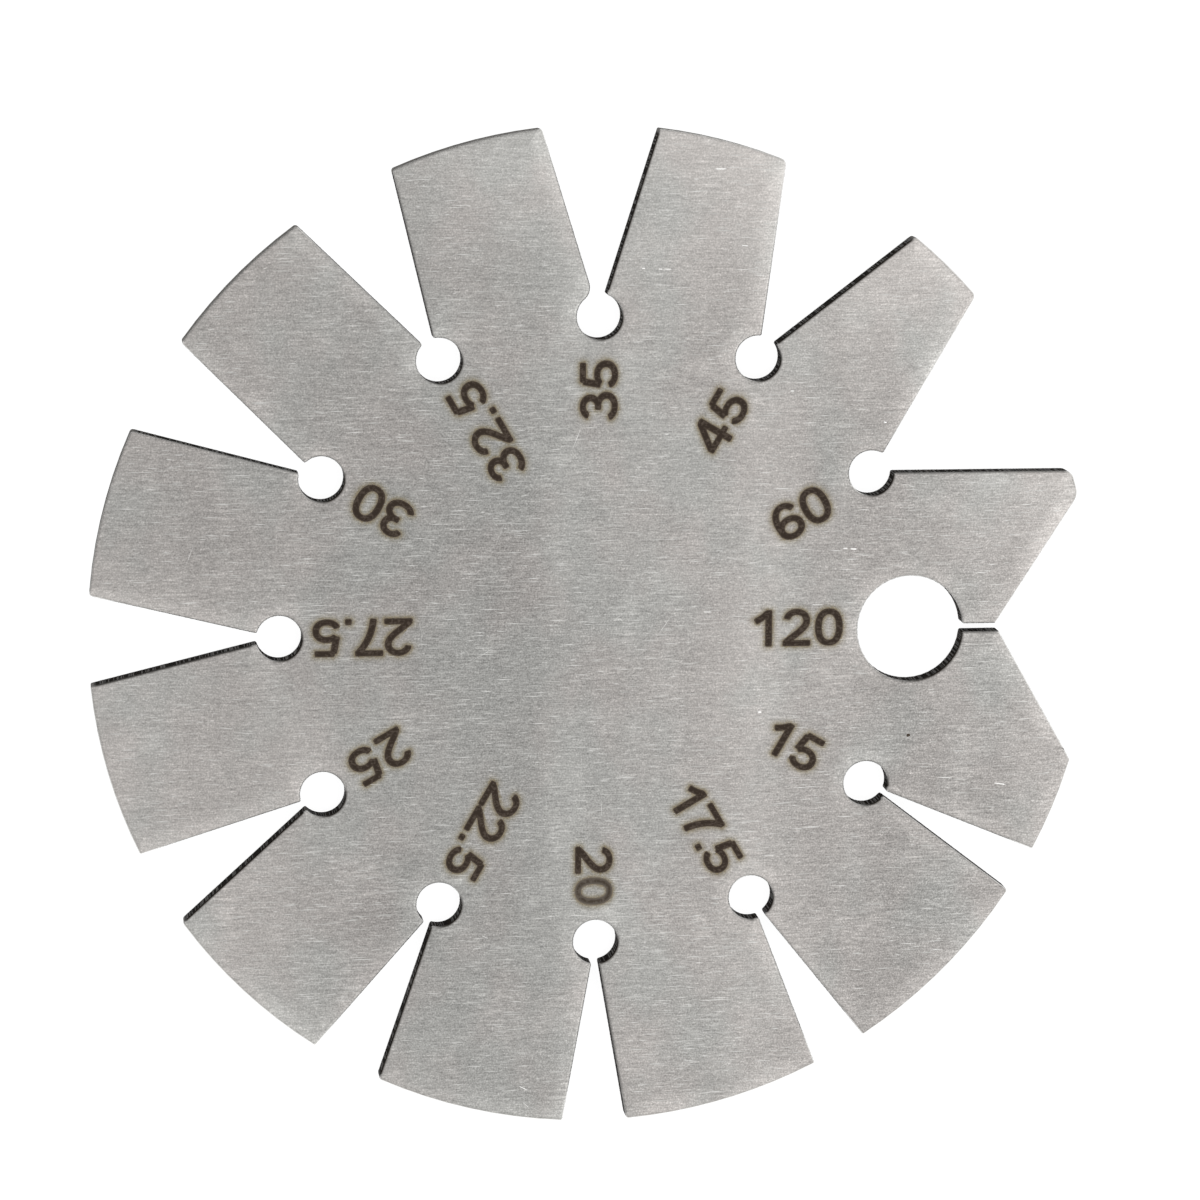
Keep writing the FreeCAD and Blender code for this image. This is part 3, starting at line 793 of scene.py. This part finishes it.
def finish_tree(tree, result, shapes, shade, material):
    """Give each placed shape its shade, make all of them one real mesh and set its material."""
    wires = {"Geometry": shapes, "Name": "shade", "Value": shade}
    shaded = put(tree, "GeometryNodeStoreNamedAttribute", wires, data_type="FLOAT", domain="INSTANCE")
    whole = put(tree, "GeometryNodeRealizeInstances", {0: shaded.outputs[0]}).outputs[0]
    whole = put(tree, "GeometryNodeSetMaterial", {"Geometry": whole, "Material": material}).outputs[0]
    tree.links.new(whole, result[0])


def make_scratch_tree(sizes, material):
    """Thin low slivers scattered over a flat face, clear of its outline."""
    tree, given, result = new_geometry_tree("scattered_scratches", sizes)
    points = clumped_points(tree, given)
    seed = given["Seed"]
    length = random_number(tree, given["Shortest"], given["Longest"], seed, 1)
    width = random_number(tree, given["Narrowest"], given["Widest"], seed, 2)
    swing = random_number(tree, calc(tree, "MULTIPLY", given["Swing"], -1.0), given["Swing"], seed, 3)
    turn = calc(tree, "ADD", given["Direction"], swing)
    sliver = put(tree, "GeometryNodeMeshCone", {"Vertices": 4, "Radius Top": 0.0, "Radius Bottom": 0.5,
                                                "Depth": 1.0}).outputs["Mesh"]
    slivers = put(tree, "GeometryNodeInstanceOnPoints",
                  {"Points": points, "Instance": sliver, "Rotation": joined(tree, z=turn),
                   "Scale": joined(tree, length, width, given["Height"])}).outputs[0]
    shade = random_number(tree, given["Dullest"], given["Brightest"], seed, 4)
    finish_tree(tree, result, slivers, shade, material)
    return tree


def make_striation_tree(sizes, material):
    """Fine upright ridges on cut walls, as the laser beam leaves them."""
    tree, given, result = new_geometry_tree("cut_striations", sizes)
    spread = put(tree, "GeometryNodeDistributePointsOnFaces",
                 {"Mesh": given["Mesh"], "Density": given["Density"], "Seed": given["Seed"]}).outputs
    here = axes_of(tree, put(tree, "GeometryNodeInputPosition").outputs[0])
    halfway = joined(tree, here["X"], here["Y"], given["Middle"])
    points = put(tree, "GeometryNodeSetPosition",
                 {"Geometry": spread["Points"], "Position": halfway}).outputs[0]
    turn = put(tree, "FunctionNodeAlignRotationToVector", {"Vector": spread["Normal"]}, axis="X",
               pivot_axis="Z").outputs[0]
    width = random_number(tree, given["Narrowest"], given["Widest"], given["Seed"], 1)
    scale = joined(tree, given["Thickness"], width, given["Height"])
    ridge = put(tree, "GeometryNodeMeshCylinder",
                {"Vertices": 6, "Radius": 0.5, "Depth": 1.0}).outputs["Mesh"]
    ridges = put(tree, "GeometryNodeInstanceOnPoints",
                 {"Points": points, "Instance": ridge, "Scale": scale, "Rotation": turn}).outputs[0]
    shade = random_number(tree, 0.0, 1.0, given["Seed"], 2)
    finish_tree(tree, result, ridges, shade, material)
    return tree


def grow(name, base, tree, sizes):
    """Run a geometry node tree on a mesh and keep the result as a plain piece."""
    seed_object = add(name + "_base", base)
    modifier = seed_object.modifiers.new(name, "NODES")
    modifier.node_group = tree
    for item in tree.interface.items_tree:
        if item.in_out == "INPUT" and item.name in sizes:
            modifier[item.identifier] = sizes[item.name]
    evaluated = seed_object.evaluated_get(bpy.context.evaluated_depsgraph_get())
    mesh = bpy.data.meshes.new_from_object(evaluated)
    mesh.name = name
    seed_object.modifiers.clear()
    bpy.data.objects.remove(seed_object)
    return add(name, mesh)


# The plate and what is cut or scattered on it

# Points closer together than this are one point of the plate.
MERGE_REACH_MM = 0.0005
# Where the tip below the widest notch lies round the plate, and how far round it moves.
TIP_SPAN_DEG = (-17.02, -16.0)
TIP_SHIFT_DEG = 1.0
# How far up a triangle's normal points on the marked face at least, and on a cut wall at most.
FACE_NORMAL = 0.99
WALL_NORMAL = 0.1


def make_plate(material):
    """The plate, with the tip below the widest notch a little further round the rim than the solid's."""
    copy = bmesh.new()
    copy.from_mesh(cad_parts["gauge_plate"].data)
    bmesh.ops.remove_doubles(copy, verts=copy.verts, dist=MERGE_REACH_MM * MM)
    turn = Matrix.Rotation(radians(TIP_SHIFT_DEG), 3, "Z")
    for vertex in copy.verts:
        bearing = degrees(atan2(vertex.co.y, vertex.co.x))
        if TIP_SPAN_DEG[0] < bearing < TIP_SPAN_DEG[1] and vertex.co.length > NOTCH_CIRCLE_RADIUS * MM:
            vertex.co = turn @ vertex.co
    copy.normal_update()
    mesh = bpy.data.meshes.new("plate")
    copy.to_mesh(mesh)
    copy.free()
    mesh.shade_flat()
    plate = add("plate", mesh)
    finish_piece(plate, material)
    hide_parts("gauge_plate")
    return plate


def plate_part(plate, keep):
    """A copy of the plate's mesh with only the triangles whose normal and middle pass a test."""
    copy = bmesh.new()
    copy.from_mesh(plate.data)
    gone = [face for face in copy.faces if not keep(face.normal, face.calc_center_median())]
    bmesh.ops.delete(copy, geom=gone, context="FACES")
    mesh = bpy.data.meshes.new("plate_part")
    copy.to_mesh(mesh)
    copy.free()
    return mesh


BRUSH_MARKS = {"Density": 5.0e6, "Seed": 11, "Clearance": 0.5 * MM, "Clump Width": 2.2 * MM,
               "Clump Length": 5.0 * MM, "Shortest": 0.2 * MM, "Longest": 1.3 * MM, "Narrowest": 0.020 * MM,
               "Widest": 0.050 * MM, "Height": 0.003 * MM, "Direction": 0.0, "Swing": 0.02,
               "Dullest": 0.10, "Brightest": 0.50}
HANDLING_SCRATCHES = {"Density": 0.03e6, "Seed": 5, "Clearance": 2.2 * MM, "Clump Width": 9.0 * MM,
                      "Clump Length": 9.0 * MM, "Shortest": 0.6 * MM, "Longest": 2.6 * MM,
                      "Narrowest": 0.012 * MM, "Widest": 0.028 * MM, "Height": 0.003 * MM,
                      "Direction": 0.9, "Swing": 0.8, "Dullest": 0.2, "Brightest": 0.8}
CUT_STRIATIONS = {"Density": 7.0e6, "Seed": 3, "Middle": (UNDERSIDE + TOP) / 2 * MM, "Height": 1.08 * MM,
                  "Thickness": 0.022 * MM, "Narrowest": 0.03 * MM, "Widest": 0.09 * MM}

# The few marks that stand out: middle, length, width, direction in degrees, and how bright from 0 to 1.
NICKS_MM = (
    (7.07, 27.46, 0.78, 0.075, 0, 1.0), (2.56, 21.66, 0.22, 0.075, 0, 0.9),
    (3.56, 21.62, 0.24, 0.070, 0, 0.9), (4.01, 21.61, 0.50, 0.060, -2, 0.8),
    (5.63, 26.87, 0.35, 0.060, 0, 0.6), (8.55, 22.97, 0.50, 0.070, -7, 0.7),
    (4.03, 11.88, 0.26, 0.060, -1, 0.7), (11.49, 14.37, 0.26, 0.080, -1, 0.7),
    (17.1, 12.45, 0.20, 0.080, -12, 1.0), (16.0, 17.43, 0.30, 0.050, -26, 0.5),
    (14.84, 4.91, 0.32, 0.065, -1, 0.8), (15.33, 4.87, 0.44, 0.080, -2, 1.0),
    (13.21, 1.52, 0.85, 0.050, -1, 0.5), (6.58, 1.19, 0.60, 0.060, -1, 0.7),
    (9.8, -4.94, 0.28, 0.085, -1, 1.0), (21.22, -9.19, 1.00, 0.050, -5, 0.6),
    (24.58, -9.64, 0.80, 0.060, -8, 0.9), (3.14, 3.63, 1.20, 0.040, -2, 0.4),
    (-4.32, -27.85, 0.70, 0.050, -28, 0.8), (-4.16, -28.9, 0.60, 0.040, -44, 0.5),
    (-6.65, -18.4, 0.45, 0.040, -27, 0.5),
)
# The one dark speck, given in the same way.
SPECK_MM = (18.88, -6.53, 0.26, 0.20, 20, 0.0)
# The foot of a nick, in shares of its length and width. It lies in the steel, and what stands out is smaller.
NICK_OUTLINE = ((-0.68, 0.0), (-0.42, -0.68), (0.42, -0.68), (0.68, 0.0), (0.42, 0.68), (-0.42, 0.68))


def make_nicks(name, table, material):
    """Low slivers on the marked face, each with its foot a little way in it."""
    points, faces, shades = [], [], []
    for x, y, length, width, direction_deg, shade in table:
        turn = Matrix.Rotation(radians(direction_deg), 2)
        first = len(points)
        for along, aside in NICK_OUTLINE:
            corner = Vector((x, y)) + turn @ Vector((along * length, aside * width))
            points.append((corner.x * MM, corner.y * MM, (TOP - TINT_HEIGHT_MM) * MM))
        peak = first + len(NICK_OUTLINE)
        points.append((x * MM, y * MM, (TOP + MARK_HEIGHT_MM) * MM))
        faces += [(at, at + 1, peak) for at in range(first, peak - 1)]
        faces += [(peak - 1, first, peak), tuple(range(peak - 1, first - 1, -1))]
        shades += [shade] * (len(NICK_OUTLINE) + 1)
    mesh = bpy.data.meshes.new(name)
    mesh.from_pydata(points, [], faces)
    mesh.attributes.new("shade", "FLOAT", "POINT").data.foreach_set("value", shades)
    finish_piece(add(name, mesh), material)


# Floor, surroundings, lamps and camera

FLOOR_SIZE = 3.0
FLOOR_GAP_MM = 0.03
FLOOR_COLOUR = (0.24, 0.24, 0.24, 1.0)
FLOOR_GLOW = 0.90
SKY_OVERHEAD = 0.92
# The tent is open towards the camera's side, so low down it is dark there and bright opposite.
DARK_SIDE = 0.03
BRIGHT_SIDE = 1.10
# Square soft lamps: name, place and size in millimetres, and watts.
LAMPS = (("softbox_right", (260, -160, 420), 320, 0.30), ("softbox_left", (-300, 120, 380), 300, 0.10))


def seen_directly(tree):
    """One for what the camera sees straight, in a mirror or through glass."""
    path = put(tree, "ShaderNodeLightPath").outputs
    mirrored = calc(tree, "MAXIMUM", path["Is Glossy Ray"], path["Is Transmission Ray"])
    return calc(tree, "MAXIMUM", path["Is Camera Ray"], mirrored)


def make_floor():
    """A plain white floor that keeps a faint shadow."""
    half = FLOOR_SIZE / 2
    level = (UNDERSIDE - FLOOR_GAP_MM) * MM
    mesh = bpy.data.meshes.new("floor")
    mesh.from_pydata([(-half, -half, level), (half, -half, level), (half, half, level), (-half, half, level)],
                     [], [(0, 1, 2, 3)])
    floor = add("floor", mesh)
    material = bpy.data.materials.new("white_floor")
    material.use_nodes = True
    tree = material.node_tree
    tree.nodes.clear()
    paint = put(tree, "ShaderNodeBsdfDiffuse", {"Color": FLOOR_COLOUR}).outputs[0]
    glow = calc(tree, "MULTIPLY", seen_directly(tree), FLOOR_GLOW)
    glow = put(tree, "ShaderNodeEmission", {"Strength": glow}).outputs[0]
    both = put(tree, "ShaderNodeAddShader", {0: paint, 1: glow}).outputs[0]
    put(tree, "ShaderNodeOutputMaterial", {"Surface": both})
    mesh.materials.append(material)


def make_surroundings():
    """Surroundings like a light tent, open on one side, and white where the camera sees them."""
    world = bpy.data.worlds.new("studio")
    bpy.context.scene.world = world
    world.use_nodes = True
    tree = world.node_tree
    tree.nodes.clear()
    axes = axes_of(tree, put(tree, "ShaderNodeTexCoord").outputs["Generated"])
    rise = step(tree, axes["Z"], 0.0, 0.75)
    away = step(tree, calc(tree, "SUBTRACT", axes["X"], axes["Y"]), -1.0, 1.0)
    low = calc(tree, "MULTIPLY_ADD", away, BRIGHT_SIDE - DARK_SIDE, DARK_SIDE)
    strength = calc(tree, "ADD", calc(tree, "MULTIPLY", rise, SKY_OVERHEAD),
                    calc(tree, "MULTIPLY", calc(tree, "SUBTRACT", 1.0, rise), low))
    strength = calc(tree, "MAXIMUM", put(tree, "ShaderNodeLightPath").outputs["Is Camera Ray"], strength)
    sky = put(tree, "ShaderNodeBackground", {"Color": (1.0, 1.0, 1.0, 1.0), "Strength": strength}).outputs[0]
    put(tree, "ShaderNodeOutputWorld", {"Surface": sky})


def make_lamp(name, place_mm, size_mm, watts):
    """One lamp, aimed at the plate."""
    data = bpy.data.lights.new(name, "AREA")
    data.size = size_mm * MM
    data.energy = watts
    lamp = add(name, data)
    lamp.location = Vector(place_mm) * MM
    lamp.rotation_euler = (-lamp.location).to_track_quat("-Z", "Y").to_euler()


# The camera stands above the upper left of the plate and looks steeply down on it.
CAMERA_EYE_MM = (-30.24, 45.13, 241.33)
CAMERA_AIM_MM = (0.136, 2.008, 1.2)
CAMERA_ROLL_DEG = 0.408
LENS_MM = 124.56
SENSOR_MM = 36.0
NEAREST_SEEN_MM = 10.0


def make_camera():
    """The camera, level with the X axis apart from a small roll."""
    data = bpy.data.cameras.new("camera")
    data.sensor_width = SENSOR_MM
    data.lens = LENS_MM
    data.clip_start = NEAREST_SEEN_MM * MM
    camera = add("camera", data)
    eye = Vector(CAMERA_EYE_MM) * MM
    back = (eye - Vector(CAMERA_AIM_MM) * MM).normalized()
    right = Vector((0, 1, 0)).cross(back).normalized()
    turn = Matrix((right, back.cross(right), back)).transposed().to_4x4()
    camera.matrix_world = Matrix.Translation(eye) @ turn @ Matrix.Rotation(radians(CAMERA_ROLL_DEG), 4, "Z")
    bpy.context.scene.camera = camera


bpy.context.scene.view_settings.view_transform = "Standard"
brushed_grain = make_brushed_grain()
outline_distance = make_outline_distance()
brushed_stainless = make_brushed_stainless(brushed_grain, outline_distance)
annealed_mark = make_mark(brushed_grain)
heat_tint = make_tint(brushed_grain)
bright_scratch = make_scratch()

steel_plate = make_plate(brushed_stainless)
for mark_station, (mark_text, mark_baseline, mark_lefts) in enumerate(MARKS):
    make_number(mark_text, mark_station, mark_baseline, mark_lefts, annealed_mark, heat_tint)

scratch_tree = make_scratch_tree(BRUSH_MARKS, bright_scratch)
marked_face = plate_part(steel_plate, lambda normal, middle: normal.z > FACE_NORMAL)
finish_piece(grow("brush_marks", marked_face.copy(), scratch_tree, BRUSH_MARKS), None)
finish_piece(grow("handling_scratches", marked_face, scratch_tree, HANDLING_SCRATCHES), None)
make_nicks("nicks", NICKS_MM, bright_scratch)
make_nicks("dark_speck", (SPECK_MM,), annealed_mark)
cut_walls = plate_part(steel_plate, lambda normal, middle: (
    abs(normal.z) < WALL_NORMAL and hypot(middle.x, middle.y) < RIM_WALL_FROM_MM * MM))
striation_tree = make_striation_tree(CUT_STRIATIONS, make_oxide_ridge())
finish_piece(grow("cut_striations", cut_walls, striation_tree, CUT_STRIATIONS), None)

make_floor()
make_surroundings()
for lamp_name, lamp_place, lamp_size, lamp_watts in LAMPS:
    make_lamp(lamp_name, lamp_place, lamp_size, lamp_watts)
make_camera()
